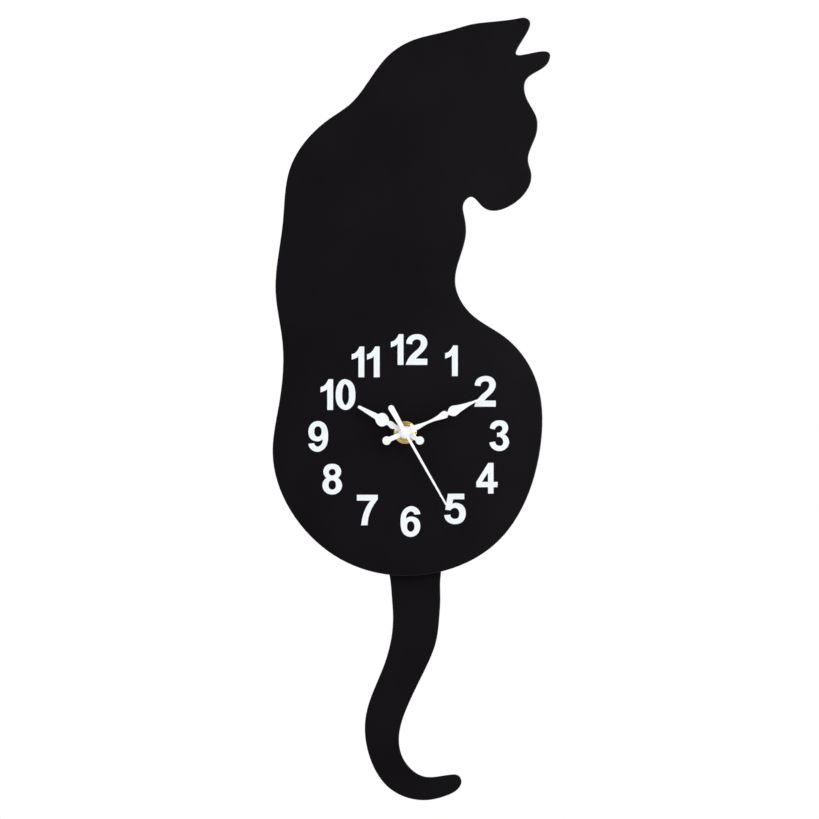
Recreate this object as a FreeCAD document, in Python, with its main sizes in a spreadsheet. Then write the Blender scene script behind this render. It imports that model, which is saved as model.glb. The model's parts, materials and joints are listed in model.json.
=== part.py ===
import FreeCAD, Part
import math
import os
from types import SimpleNamespace

import Sketcher

# Cat-shaped wall clock whose tail swings as a pendulum. Millimetres.
# Frame: the origin is the centre of the hanging eye, on the wall plane. X runs to the right
# of somebody who reads the dial, Z runs up, and Y runs into the wall, so the clock is at y < 0.
# Each body is drawn as a front elevation: its own X is across, its own Y is up, and its own Z
# comes out of the wall. "Depth" is a distance from the wall plane towards the reader.
# "Across" and "up" are counted from the axis of the hands.

Vector = FreeCAD.Vector
doc = FreeCAD.newDocument("cat_tail_clock")

DIMENSIONS = [
    # layout
    ("shaft_drop", 34.0, "hanging eye down to the axis of the hands"),
    ("eye_radius", 3.0, "hanging eye"),
    ("pendulum_across", 0.7, "pendulum axis, right of the hands' axis, over the tail's centre of mass"),
    ("pendulum_up", -36.0, "pendulum axis, from the hands' axis"),
    # cat and tail
    ("panel_depth", 18.0, "back face of the cat panel"),
    ("panel_thickness", 3.0, "cat panel sheet"),
    ("panel_hole_radius", 4.15, "hole for the threaded bushing"),
    ("edge_radius", 0.6, "polished front edge of panel and tail"),
    ("tail_depth", 12.0, "back face of the tail"),
    ("tail_thickness", 3.0, "tail sheet"),
    ("figure_height", 16.9, "height of a dial figure"),
    ("figure_thickness", 0.4, "stick-on dial figure"),
    # movement case
    ("case_half_width", 28.3, "movement case, half of its width"),
    ("case_top", 28.0, "top of the case"),
    ("case_bottom", -62.0, "bottom of the case"),
    ("case_front", 17.0, "front face of the case"),
    ("case_wall", 1.6, "side walls"),
    ("front_wall", 1.5, "front wall"),
    ("cover_thickness", 2.0, "back cover"),
    ("case_corner", 4.0, "corner radius of the case"),
    # battery
    ("battery_radius", 7.1, "AA cell"),
    ("battery_length", 49.0, "AA cell without its positive cap"),
    ("battery_up", -20.5, "axis of the cell"),
    ("battery_depth", 8.3, "axis of the cell"),
    # dial train fits
    ("second_shaft_radius", 0.6, "shaft of the second hand"),
    ("minute_radius", 1.75, "tube of the minute hand"),
    ("minute_bore_radius", 0.68, "bore of the minute tube"),
    ("hour_pipe_radius", 2.5, "pipe of the hour hand"),
    ("hour_bore_radius", 1.83, "bore of the hour pipe"),
    ("bushing_radius", 4.0, "crest of the bushing's M8 thread"),
    ("bushing_bore_radius", 2.58, "bore of the bushing"),
    ("bushing_front", 25.0, "front end of the bushing"),
    ("pivot_radius", 0.4, "pivots of the plastic arbors"),
    ("running_gap", 0.04, "radial clearance of a pivot in its hole"),
    # gears
    ("second_module", 0.25, "rotor, step and second wheels"),
    ("third_module", 0.27, "second pinion and third wheel"),
    ("centre_module", 0.255, "third pinion and centre wheel"),
    ("minute_module", 0.4, "cannon pinion and motion wheel"),
    ("hour_module", 0.384, "motion pinion and hour wheel"),
    ("rotor_leaves", 8, "rotor pinion"),
    ("step_teeth", 48, "step wheel"),
    ("step_leaves", 12, "step pinion"),
    ("second_teeth", 60, "second wheel"),
    ("second_leaves", 8, "second pinion"),
    ("third_teeth", 60, "third wheel"),
    ("third_leaves", 8, "third pinion"),
    ("centre_teeth", 64, "centre wheel"),
    ("cannon_leaves", 12, "cannon pinion"),
    ("motion_teeth", 36, "motion wheel"),
    ("motion_leaves", 10, "motion pinion"),
    ("hour_teeth", 40, "hour wheel"),
    # hands
    ("hand_thickness", 0.6, "hour and minute hands"),
    ("hour_hand_depth", 26.4, "back face of the hour hand"),
    ("minute_hand_depth", 28.3, "back face of the minute hand"),
    ("second_hand_depth", 30.0, "back face of the second hand"),
    ("hour_angle", 299.0, "hour hand at rest, degrees clockwise from 12"),
    ("minute_angle", 66.0, "minute hand at rest"),
    ("second_angle", 150.4, "second hand at rest"),
]

THIRD_DIRECTION = 165.0  # degrees, from the hands' axis to the third arbor
ROTOR_DIRECTION = 45.0  # degrees, from the step arbor to the rotor


class Size:
    """A number kept together with the spreadsheet expression that gives it."""

    def __init__(self, number, text):
        self.number = float(number)
        self.text = text

    def __add__(self, other):
        other = as_size(other)
        return Size(self.number + other.number, f"({self.text} + {other.text})")

    def __sub__(self, other):
        other = as_size(other)
        return Size(self.number - other.number, f"({self.text} - {other.text})")

    def __mul__(self, other):
        other = as_size(other)
        return Size(self.number * other.number, f"({self.text} * {other.text})")

    def __truediv__(self, other):
        other = as_size(other)
        return Size(self.number / other.number, f"({self.text} / {other.text})")

    def __neg__(self):
        return Size(-self.number, f"(0 - {self.text})")

    def __rsub__(self, other):
        return as_size(other) - self

    __radd__ = __add__
    __rmul__ = __mul__


def as_size(value):
    """Wrap a plain number, so that it can stand in an expression."""
    if isinstance(value, Size):
        return value
    return Size(value, f"({value})")


def make_sheet():
    """Write the driving dimensions into the spreadsheet and return them as Size values."""
    sheet = doc.addObject("Spreadsheet::Sheet", "Sizes")
    sizes = {}
    for row, (alias, value, meaning) in enumerate(DIMENSIONS, start=1):
        sheet.set(f"A{row}", alias)
        sheet.set(f"B{row}", str(value))
        sheet.set(f"C{row}", meaning)
        sheet.setAlias(f"B{row}", alias)
        sizes[alias] = Size(value, f"Sizes.{alias}")
    doc.recompute()
    return SimpleNamespace(**sizes)


size = make_sheet()
pieces = []

# Gear centres, from the hands' axis.
third_distance = size.third_module * (size.third_teeth + size.second_leaves) / 2
third_across = third_distance * round(math.cos(math.radians(THIRD_DIRECTION)), 5)
third_up = third_distance * round(math.sin(math.radians(THIRD_DIRECTION)), 5)
step_across = size.second_module * (size.second_teeth + size.step_leaves) / 2
rotor_distance = size.second_module * (size.step_teeth + size.rotor_leaves) / 2
rotor_across = step_across + rotor_distance * round(math.cos(math.radians(ROTOR_DIRECTION)), 5)
rotor_up = rotor_distance * round(math.sin(math.radians(ROTOR_DIRECTION)), 5)
motion_up = size.minute_module * (size.cannon_leaves + size.motion_teeth) / 2
case_inside = size.case_half_width - size.case_wall
pivot_hole = size.pivot_radius + size.running_gap


def set_value(thing, name, value):
    """Give a property its number, and its expression when it depends on the sheet."""
    value = as_size(value)
    setattr(thing, name, value.number)
    if "Sizes." in value.text:
        thing.setExpression(name, value.text)


def place(thing, across=0, up=0, depth=0, turn=0.0):
    """Stand a piece up as a front elevation; turn is in degrees, clockwise for the reader."""
    across = as_size(across)
    height = as_size(up) - size.shaft_drop
    depth = -as_size(depth)
    stand = FreeCAD.Rotation(Vector(1, 0, 0), 90)
    spin = FreeCAD.Rotation(Vector(0, 0, 1), -turn)
    base = Vector(across.number, depth.number, height.number)
    thing.Placement = FreeCAD.Placement(base, stand.multiply(spin))
    thing.setExpression("Placement.Base.x", across.text)
    thing.setExpression("Placement.Base.y", depth.text)
    thing.setExpression("Placement.Base.z", height.text)


def new_body(name, across=0, up=0, depth=0, turn=0.0):
    """Start a sub-part as a PartDesign body."""
    body = doc.addObject("PartDesign::Body", name)
    body.Label = name
    body.AllowCompound = True
    place(body, across, up, depth, turn)
    pieces.append(body)
    return body


def origin_plane(body, role):
    """Return one of the body's own origin planes or axes."""
    return next(item for item in body.Origin.OriginFeatures if item.Role == role)


def new_sketch(body, start=0, turn=0.0, role="XY_Plane"):
    """Start a sketch on an origin plane, moved by start along the plane's normal."""
    sketch = body.newObject("Sketcher::SketchObject", f"{body.Name}_sketch")
    sketch.AttachmentSupport = (origin_plane(body, role), [""])
    sketch.MapMode = "FlatFace"
    start = as_size(start)
    spin = FreeCAD.Rotation(Vector(0, 0, 1), turn)
    sketch.AttachmentOffset = FreeCAD.Placement(Vector(0, 0, start.number), spin)
    if "Sizes." in start.text:
        sketch.setExpression("AttachmentOffset.Base.z", start.text)
    return sketch


def constrain(sketch, constraint, value):
    """Add a dimensional constraint and bind it to the sheet where it can be."""
    index = sketch.addConstraint(constraint)
    if "Sizes." in value.text:
        sketch.setExpression(f"Constraints[{index}]", value.text)


def pin_point(sketch, edge, end, across, up):
    """Hold one point of an edge at its distances from the sketch's origin."""
    for kind, value, axis in (("DistanceX", across, -2), ("DistanceY", up, -1)):
        if value.number == 0:
            sketch.addConstraint(Sketcher.Constraint("PointOnObject", edge, end, axis))
        else:
            rule = Sketcher.Constraint(kind, -1, 1, edge, end, value.number)
            constrain(sketch, rule, value)


def draw_circle(sketch, across, up, radius):
    """Draw a dimensioned circle."""
    across, up, radius = as_size(across), as_size(up), as_size(radius)
    centre = Vector(across.number, up.number, 0)
    edge = sketch.addGeometry(Part.Circle(centre, Vector(0, 0, 1), radius.number))
    pin_point(sketch, edge, 3, across, up)
    constrain(sketch, Sketcher.Constraint("Radius", edge, radius.number), radius)


def draw_rectangle(sketch, left, bottom, right, top):
    """Draw a dimensioned rectangle."""
    left, bottom, right, top = (as_size(value) for value in (left, bottom, right, top))
    x0, y0, x1, y1 = left.number, bottom.number, right.number, top.number
    corners = [Vector(x0, y0, 0), Vector(x1, y0, 0), Vector(x1, y1, 0), Vector(x0, y1, 0)]
    first = sketch.addGeometry(Part.LineSegment(corners[0], corners[1]))
    for a, b in ((1, 2), (2, 3), (3, 0)):
        sketch.addGeometry(Part.LineSegment(corners[a], corners[b]))
    for k in range(4):
        rule = Sketcher.Constraint("Coincident", first + k, 2, first + (k + 1) % 4, 1)
        sketch.addConstraint(rule)
        kind = "Vertical" if k % 2 else "Horizontal"
        sketch.addConstraint(Sketcher.Constraint(kind, first + k))
    pin_point(sketch, first, 1, left, bottom)
    pin_point(sketch, first + 1, 2, right, top)


def add_fixed(sketch, edge):
    """Add an edge that stays where it is drawn."""
    index = sketch.addGeometry(edge)
    sketch.addConstraint(Sketcher.Constraint("Block", index))


def add_curve(sketch, points, closed=False):
    """Add one smooth curve through the points, as an edge for each run between two points."""
    curve = Part.BSplineCurve()
    curve.interpolate(Points=points, PeriodicFlag=closed)
    knots = curve.getKnots()
    for first, last in zip(knots, knots[1:]):
        run = curve.copy()
        run.segment(first, last)
        add_fixed(sketch, run)


def draw_outline(sketch, start, *stretches):
    """Draw a closed outline. Each stretch lists the points after the last one's end:
    one point ends a line, two an arc through the first, and more a smooth curve."""
    last = start
    for stretch in stretches:
        points = [Vector(x, y, 0) for x, y in [last, *stretch]]
        if len(points) == 2:
            add_fixed(sketch, Part.LineSegment(*points))
        elif len(points) == 3:
            add_fixed(sketch, Part.Arc(*points))
        else:
            add_curve(sketch, points)
        last = stretch[-1]


def draw_smooth_loop(sketch, points):
    """Draw a closed smooth curve through the points."""
    add_curve(sketch, [Vector(x, y, 0) for x, y in points], closed=True)


def pad(body, sketch, length):
    """Extrude a sketch out of the wall."""
    feature = body.newObject("PartDesign::Pad", f"{body.Name}_pad")
    feature.Profile = sketch
    set_value(feature, "Length", length)
    body.Tip = feature
    return feature


def cut(body, sketch, length):
    """Cut a sketch out of the body, towards the reader, and make sure that it cut."""
    doc.recompute()
    before = body.Shape.Volume
    feature = body.newObject("PartDesign::Pocket", f"{body.Name}_cut")
    feature.Profile = sketch
    feature.Reversed = True
    set_value(feature, "Length", length)
    body.Tip = feature
    doc.recompute()
    if body.Shape.Volume >= before:
        raise ValueError(f"{body.Label}: {feature.Name} cut nothing")
    return feature


def add_disc(body, radius, start, length, across=0, up=0, bore=None):
    """Add a round plate or tube to a body."""
    sketch = new_sketch(body, start)
    draw_circle(sketch, across, up, radius)
    if bore is not None:
        draw_circle(sketch, across, up, bore)
    return pad(body, sketch, length)


def add_block(body, left, bottom, right, top, start, length):
    """Add a rectangular block to a body."""
    sketch = new_sketch(body, start)
    draw_rectangle(sketch, left, bottom, right, top)
    return pad(body, sketch, length)


def add_discs(body, radius, start, length, places):
    """Add equal round posts at several places."""
    sketch = new_sketch(body, start)
    for across, up in places:
        draw_circle(sketch, across, up, radius)
    return pad(body, sketch, length)


def cut_discs(body, radius, start, length, places):
    """Cut equal round holes at several places."""
    sketch = new_sketch(body, start)
    for across, up in places:
        draw_circle(sketch, across, up, radius)
    return cut(body, sketch, length)


def cut_disc(body, radius, start, length, across=0, up=0):
    """Cut a round hole."""
    return cut_discs(body, radius, start, length, [(across, up)])


def cut_block(body, left, bottom, right, top, start, length):
    """Cut a rectangular opening."""
    sketch = new_sketch(body, start)
    draw_rectangle(sketch, left, bottom, right, top)
    return cut(body, sketch, length)


def round_edges(body, radius, wanted):
    """Round the edges of the body's last feature for which wanted(edge) is true."""
    doc.recompute()
    tip = body.Tip
    names = [f"Edge{i}" for i, edge in enumerate(tip.Shape.Edges, start=1) if wanted(edge)]
    feature = body.newObject("PartDesign::Fillet", f"{body.Name}_round")
    feature.Base = (tip, names)
    set_value(feature, "Radius", radius)
    body.Tip = feature
    doc.recompute()
    return feature


def lies_at(level):
    """Make a test for edges that lie wholly at a level along the body's own Z."""
    def test(edge):
        return abs(edge.BoundBox.ZMin - level) < 1e-4 and abs(edge.BoundBox.ZMax - level) < 1e-4
    return test


def stands_up(edge):
    """Tell whether a straight edge runs along the body's own Z."""
    return edge.BoundBox.ZLength > 1 and edge.BoundBox.XLength + edge.BoundBox.YLength < 1e-4


# ---------------------------------------------------------------- gears

WHEEL_ADDENDUM, WHEEL_DEDENDUM, WHEEL_TOOTH = 1.2, 1.4, 1.35  # in modules
LEAF_ADDENDUM, LEAF_DEDENDUM, LEAF_TOOTH = 1.05, 1.35, 1.05


def add_gear(body, teeth, module, start, thickness, bore=None, turn=0.0, leaf=False):
    """Add a toothed disc with slender rounded clock teeth; turn points its first tooth."""
    addendum = LEAF_ADDENDUM if leaf else WHEEL_ADDENDUM
    dedendum = LEAF_DEDENDUM if leaf else WHEEL_DEDENDUM
    tooth = LEAF_TOOTH if leaf else WHEEL_TOOTH
    pitch_radius = module * teeth / 2
    root = pitch_radius - module * dedendum
    add_disc(body, root, start, thickness, bore=bore)
    half = module.number * tooth / 2
    foot = root.number - 0.2 * module.number
    shoulder = pitch_radius.number + 0.55 * addendum * module.number
    tip = pitch_radius.number + addendum * module.number
    sketch = new_sketch(body, start, turn)
    draw_outline(
        sketch,
        (foot, -half),
        [(pitch_radius.number, -half)],
        [(shoulder, -0.8 * half)],
        [(tip - 0.1 * module.number, -0.42 * half), (tip, 0), (tip - 0.1 * module.number, 0.42 * half),
         (shoulder, 0.8 * half)],
        [(pitch_radius.number, half)],
        [(foot, half)],
        [(foot, -half)],
    )
    tooth_pad = pad(body, sketch, thickness)
    pattern = body.newObject("PartDesign::PolarPattern", f"{body.Name}_teeth")
    pattern.Originals = [tooth_pad]
    pattern.Axis = (origin_plane(body, "Z_Axis"), [""])
    pattern.Angle = 360
    pattern.Occurrences = int(teeth.number)
    pattern.setExpression("Occurrences", teeth.text)
    body.Tip = pattern
    return pattern


def gap_turn(direction, teeth):
    """Turn that puts a gap between two teeth in the given direction, in degrees."""
    return direction + 180.0 / teeth.number


# ---------------------------------------------------------------- cat and tail

# The cat sits side-on and looks back to the right: points on its silhouette, from the far ear
# round the back, the haunch, the chest and the muzzle to the near ear.
FAR_EAR = [(64, 228.1), (45.4, 225.7), (36.5, 224.5)]
BACK = [(25, 221.2), (3, 215.3), (-9.1, 207.5), (-31, 180), (-41, 173), (-63.4, 145.2), (-67.3, 115.5),
        (-71.3, 77.5), (-67.5, 49.4), (-69.6, 14.5)]
HAUNCH = [(-72.9, -11.7), (-39.5, -67.4), (5, -78.8), (48.7, -62.1), (74.7, -6.2), (71.2, 31), (54.2, 53)]
CHEST = [(35.4, 66.1), (27.6, 82.2), (33.5, 109.6), (32.6, 118.8), (32.4, 126.4), (35.9, 129.5)]
MUZZLE = [(42.6, 124.1), (57, 124.2), (69.3, 143), (67.7, 149), (72, 163.5), (72.3, 173.1), (66.2, 185.4)]
NEAR_EAR = [(66.4, 193.6), (79, 204), (79.7, 207.9), (61.3, 207.9), (66.3, 218.5), (67.9, 227.1)]

# The tail hangs behind the cat, swings left and curls up to the right at its tip.
TAIL_TOP = [(18.9, -71), (15.5, -66.9), (5, -66.3), (-5.3, -66.9), (-8.7, -71)]
TAIL_LEFT = [(-8.4, -80), (-7.4, -90), (-6.7, -102), (-11.6, -128), (-21.7, -156.3), (-19.1, -180),
             (-7.6, -196.7)]
TAIL_TIP = [(12.5, -202.4), (22.6, -200), (29.6, -195.7), (31, -191.9), (29.6, -189.1), (25, -188.4)]
TAIL_RIGHT = [(10, -189.3), (-1.2, -179.2), (-3.4, -168.5), (1.1, -151.3), (11.2, -130), (16.9, -115.7),
              (18.9, -101), (19.4, -91), (19.4, -81)]


def make_cat_panel():
    """The cat: one sheet with a hole for the threaded bushing and a rounded front edge."""
    body = new_body("cat_panel", depth=size.panel_depth)
    sketch = new_sketch(body)
    draw_smooth_loop(sketch, FAR_EAR + BACK + HAUNCH + CHEST + MUZZLE + NEAR_EAR)
    draw_circle(sketch, 0, 0, size.panel_hole_radius)
    pad(body, sketch, size.panel_thickness)
    front = size.panel_thickness.number
    hole = size.panel_hole_radius.number
    at_front = lies_at(front)
    round_edges(body, size.edge_radius, lambda e: at_front(e) and e.BoundBox.XLength > 3 * hole)


def make_tail():
    """The tail: a curled sheet that hangs behind the cat, with a slot for the hook."""
    body = new_body("tail", depth=size.tail_depth)
    sketch = new_sketch(body)
    draw_smooth_loop(sketch, TAIL_TOP + TAIL_LEFT + TAIL_TIP + TAIL_RIGHT)
    pad(body, sketch, size.tail_thickness)
    left = size.pendulum_across - 2.3
    right = size.pendulum_across + 2.3
    cut_block(body, left, -75, right, -71.5, 0, size.tail_thickness)
    at_front = lies_at(size.tail_thickness.number)

    def on_outline(edge):
        box = edge.BoundBox
        in_slot = box.XMin > left.number - 0.1 and box.XMax < right.number + 0.1 and box.YMin > -75.1
        return at_front(edge) and not in_slot

    round_edges(body, size.edge_radius, on_outline)


# ---------------------------------------------------------------- dial figures

# Bold upright figures on a grid of 100 units to the figure's height, from the middle of the
# figure's foot. Each outline is a start point and its stretches; ovals are closed curves.
SIX_OUTLINE = [
    (32, 74), [(13, 72)], [(9, 80), (2, 83), (-8, 78), (-13, 59)],
    [(-5, 65), (4, 66), (25, 57), (32, 34), (22, 9), (0, 0), (-22, 10), (-32, 46), (-23, 86), (2, 100),
     (24, 91), (32, 74)],
]
SIX_COUNTER = [(1, 51), (-8, 46), (-11, 34), (-8, 22), (1, 17), (10, 22), (13, 34), (10, 46)]
FIGURES = {
    "0": ([], [
        [(0, 100), (22, 88), (32, 50), (22, 12), (0, 0), (-22, 12), (-32, 50), (-22, 88)],
        [(0, 84), (8, 74), (11, 50), (8, 26), (0, 16), (-8, 26), (-11, 50), (-8, 74)],
    ]),
    "1": ([[
        (2, 0), [(21, 0)], [(21, 100)], [(6, 100)], [(0, 89), (-8, 80), (-20, 75)], [(-20, 57)],
        [(-9, 61), (-3, 64), (2, 69)], [(2, 0)],
    ]], []),
    "2": ([[
        (-36, 0), [(34, 0)], [(34, 20)], [(-3, 20)],
        [(4, 28), (25, 49), (34, 72), (26, 91), (0, 100), (-25, 91), (-34, 69)], [(-15, 67)],
        [(-11, 79), (0, 83), (10, 80), (13, 72), (8, 57), (-7, 43), (-28, 19), (-36, 0)],
    ]], []),
    "3": ([[
        (15, 54), [(26, 45), (31, 29), (21, 8), (0, 0), (-22, 8), (-33, 28)], [(-14, 31)],
        [(-9, 20), (0, 17), (9, 20), (12, 31), (6, 43), (-8, 46)], [(-8, 60)],
        [(3, 62), (9, 71), (7, 80), (0, 83), (-9, 80), (-15, 70)], [(-31, 74)],
        [(-22, 93), (0, 100), (20, 94), (28, 77), (24, 62), (15, 54)],
    ]], []),
    "4": ([[
        (22, 100), [(22, 38)], [(35, 38)], [(35, 21)], [(22, 21)], [(22, 0)], [(4, 0)], [(4, 21)],
        [(-34, 21)], [(-34, 38)], [(5, 100)], [(22, 100)],
    ], [(4, 68), [(-16, 38)], [(4, 38)], [(4, 68)]]], []),
    "5": ([[
        (29, 99), [(-24, 99)], [(-33, 47)], [(-16, 45)],
        [(-9, 51), (0, 53), (10, 46), (13, 34), (9, 21), (-1, 17), (-11, 20), (-16, 31)], [(-36, 29)],
        [(-25, 8), (-1, 0), (23, 8), (34, 35), (25, 60), (5, 69), (-10, 66)], [(-7, 81)], [(29, 81)],
        [(29, 99)],
    ]], []),
    "6": ([SIX_OUTLINE], [SIX_COUNTER]),
    "7": ([[
        (1, 0), [(4, 26), (15, 56), (34, 84)], [(34, 99)], [(-34, 99)], [(-34, 80)], [(11, 80)],
        [(-5, 56), (-15, 28), (-20, 0)], [(1, 0)],
    ]], []),
    "8": ([[
        (18, 54), [(28, 44), (32, 29), (22, 8), (0, 0), (-22, 8), (-32, 29), (-28, 44), (-18, 54)],
        [(-25, 61), (-29, 74), (-21, 93), (0, 100), (21, 93), (29, 74), (25, 61), (18, 54)],
    ]], [
        [(0, 46), (9, 42), (12, 31), (9, 20), (0, 16), (-9, 20), (-12, 31), (-9, 42)],
        [(0, 83), (8, 80), (11, 73), (8, 65), (0, 62), (-8, 65), (-11, 73), (-8, 80)],
    ]),
}
FIGURE_WIDTHS = {"0": 64, "1": 41, "2": 70}
FIGURE_GAP = 9

# Centre of each figure or pair of figures, from the hands' axis.
HOUR_PLACES = {
    1: (25.4, 39.4), 2: (44.1, 22.6), 3: (51.9, -1.8), 4: (44.9, -25.2), 5: (27.6, -42.0),
    6: (2.9, -49.0), 7: (-20.8, -42.6), 8: (-40.1, -25.7), 9: (-47.8, -2.2), 10: (-37.0, 20.8),
    11: (-21.8, 38.8), 12: (2.2, 45.6),
}


def half_turned(points):
    """Turn points by half a turn about the middle of the figure's height."""
    return [(-x, 100 - y) for x, y in points]


FIGURES["9"] = (
    [[half_turned([SIX_OUTLINE[0]])[0], *[half_turned(stretch) for stretch in SIX_OUTLINE[1:]]]],
    [half_turned(SIX_COUNTER)],
)


def make_numeral(hour):
    """One stick-on hour number; its figures stand side by side."""
    across, up = HOUR_PLACES[hour]
    body = new_body(f"numeral_{hour:02d}", across, up, size.panel_depth + size.panel_thickness)
    sketch = new_sketch(body)
    unit = size.figure_height.number / 100
    figures = str(hour)
    widths = [FIGURE_WIDTHS.get(figure, 0) for figure in figures]
    left = -(sum(widths) + FIGURE_GAP * (len(figures) - 1)) / 2
    for figure, width in zip(figures, widths):
        shift = left + width / 2

        def scaled(points, shift=shift):
            return [((x + shift) * unit, (y - 50) * unit) for x, y in points]

        outlines, ovals = FIGURES[figure]
        for outline in outlines:
            stretches = [scaled(stretch) for stretch in outline[1:]]
            draw_outline(sketch, scaled([outline[0]])[0], *stretches)
        for oval in ovals:
            draw_smooth_loop(sketch, scaled(oval))
        left += width + FIGURE_GAP
    pad(body, sketch, size.figure_thickness)


# ---------------------------------------------------------------- hands

# Half-outlines of the hands: distance along the hand and half-width.
HOUR_BLADE = [
    [(2, 1.9), (5, 1.25)],
    [(6.5, 1.3), (8.6, 1.75), (10.7, 1.25)],
    [(11.6, 2.3), (14.4, 3.65), (17.3, 2.3)],
    [(18, 1.6), (19, 1.55), (21, 1.4), (24, 1.15), (28.8, 0.85)],
]
MINUTE_BLADE = [
    [(2, 2.4), (6, 1.6), (9, 1.15), (12, 0.8), (14.5, 0.7), (17.5, 0.9), (20.5, 1.4), (24.4, 2.0)],
    [(25.7, 0.72)],
    [(27, 2.0), (28.3, 2.75), (29.7, 2.85), (31, 2.45), (34, 1.7), (37, 1.15), (40, 0.75), (45.4, 0.45)],
]
SECOND_BLADE = [[(0, 0.8), (45.3, 0.5)]]


def draw_blade(sketch, stretches, tip):
    """Draw a symmetrical hand blade that points up and ends at tip."""
    right = [[(half, along) for along, half in stretch] for stretch in stretches]
    left = [[(-x, y) for x, y in reversed(stretch)] for stretch in reversed(right)]
    start = right[0][0]
    rising = [right[0][1:], *right[1:]]
    falling = [[(0, tip), left[0][0]], left[0][1:], *left[1:]]
    draw_outline(sketch, start, *rising, *falling, [start])


def add_blade(body, stretches, tip, start):
    """Add a hand's blade."""
    sketch = new_sketch(body, start)
    draw_blade(sketch, stretches, tip)
    return pad(body, sketch, size.hand_thickness)


def make_hour_hand():
    """Spade-shaped hour hand with a ball tail and a collar pressed on the hour pipe."""
    turn = size.hour_angle.number
    body = new_body("hour_hand", depth=size.hour_hand_depth, turn=turn)
    add_disc(body, 3.5, 0, size.hand_thickness)
    add_blade(body, HOUR_BLADE, 29.6, 0)
    add_block(body, -1.2, -9, 1.2, -2, 0, size.hand_thickness)
    add_disc(body, 2.3, 0, size.hand_thickness, up=-9.2)
    add_disc(body, 3.3, -0.9, 0.9)
    cut_disc(body, size.hour_pipe_radius, -0.9, size.hand_thickness + 0.9)


def make_minute_hand():
    """Minute hand with a teardrop near its tip, a ball tail and a collar."""
    turn = size.minute_angle.number
    body = new_body("minute_hand", depth=size.minute_hand_depth, turn=turn)
    add_disc(body, 3.4, 0, size.hand_thickness)
    add_blade(body, MINUTE_BLADE, 46, 0)
    add_block(body, -1.35, -11, 1.35, -2, 0, size.hand_thickness)
    add_disc(body, 2.35, 0, size.hand_thickness, up=-11.1)
    add_disc(body, 2.6, -0.3, 0.3)
    cut_disc(body, size.minute_radius, -0.3, size.hand_thickness + 0.3)


def make_second_hand():
    """Needle second hand with a rounded counterweight."""
    turn = size.second_angle.number
    thickness = 0.4
    body = new_body("second_hand", depth=size.second_hand_depth, turn=turn)
    add_disc(body, 2.6, 0, thickness)
    sketch = new_sketch(body)
    draw_blade(sketch, SECOND_BLADE, 45.8)
    pad(body, sketch, thickness)
    sketch = new_sketch(body)
    draw_outline(sketch, (1.1, -1), [(-1.1, -1)], [(-1.65, -15.4)], [(0, -17.0), (1.65, -15.4)], [(1.1, -1)])
    pad(body, sketch, thickness)
    cut_disc(body, 1.1, 0, thickness)


def make_second_hand_hub():
    """Turned cap that carries the second hand on its shaft."""
    body = new_body("second_hand_hub", depth=size.second_hand_depth)
    add_disc(body, 1.1, -0.3, 0.7)
    add_disc(body, 1.7, 0.4, 0.7)
    round_edges(body, 0.3, lies_at(1.1))
    cut_disc(body, size.second_shaft_radius, -0.3, 1.2)


# ---------------------------------------------------------------- dial fixing

def make_threaded_bushing():
    """Brass bushing of the movement: a flange inside the case and an M8 thread."""
    flange_depth = 14.7
    body = new_body("threaded_bushing", depth=flange_depth)
    add_disc(body, 5.5, 0, 0.8)
    add_disc(body, size.bushing_radius, 0.8, size.bushing_front - flange_depth - 0.8)
    sketch = new_sketch(body, role="XZ_Plane")
    crest = size.bushing_radius.number + 0.1
    root = size.bushing_radius.number - 0.35
    first = size.panel_depth.number - flange_depth
    draw_outline(sketch, (crest, first), [(root, first + 0.3)], [(crest, first + 0.6)], [(crest, first)])
    thread = body.newObject("PartDesign::Groove", "bushing_thread")
    thread.Profile = sketch
    thread.ReferenceAxis = (sketch, ["V_Axis"])
    thread.Angle = 360
    body.Tip = thread
    pattern = body.newObject("PartDesign::LinearPattern", "bushing_threads")
    pattern.Originals = [thread]
    pattern.Direction = (origin_plane(body, "Z_Axis"), [""])
    pattern.Length = 6.0
    pattern.Occurrences = 9
    body.Tip = pattern
    cut_disc(body, size.bushing_bore_radius, 0, size.bushing_front - flange_depth)


def make_rubber_washer():
    """Soft washer between the case and the cat."""
    body = new_body("rubber_washer", depth=size.case_front)
    add_disc(body, 11, 0, size.panel_depth - size.case_front, bore=size.bushing_radius + 0.1)


def make_brass_washer():
    """Thin washer on the face of the cat."""
    body = new_body("brass_washer", depth=size.panel_depth + size.panel_thickness)
    radius = 6.3
    at_front = lies_at(0.6)
    add_disc(body, radius, 0, 0.6, bore=size.bushing_radius + 0.15)
    round_edges(body, 0.4, lambda e: at_front(e) and e.BoundBox.XLength > 1.9 * radius)


def make_brass_nut():
    """Hexagon nut, 10 mm across flats, with chamfered corners."""
    height = 2.2
    corner = 5.0 / math.cos(math.radians(30))
    body = new_body("brass_nut", depth=size.panel_depth + size.panel_thickness + 0.6, turn=12)
    sketch = new_sketch(body)
    corners = [
        (corner * math.cos(math.radians(60 * k)), corner * math.sin(math.radians(60 * k)))
        for k in range(6)
    ]
    draw_outline(sketch, corners[0], *[[point] for point in corners[1:] + corners[:1]])
    draw_circle(sketch, 0, 0, size.bushing_radius)
    pad(body, sketch, height)
    doc.recompute()
    before = body.Shape.Volume
    profile = new_sketch(body, role="XZ_Plane")
    draw_outline(profile, (4.9, height), [(6.2, height)], [(6.2, height - 0.6)], [(4.9, height)])
    chamfer = body.newObject("PartDesign::Groove", "nut_chamfer")
    chamfer.Profile = profile
    chamfer.ReferenceAxis = (profile, ["V_Axis"])
    chamfer.Angle = 360
    body.Tip = chamfer
    doc.recompute()
    if body.Shape.Volume >= before:
        raise ValueError("brass_nut: the chamfer cut nothing")


# ---------------------------------------------------------------- movement case

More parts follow.
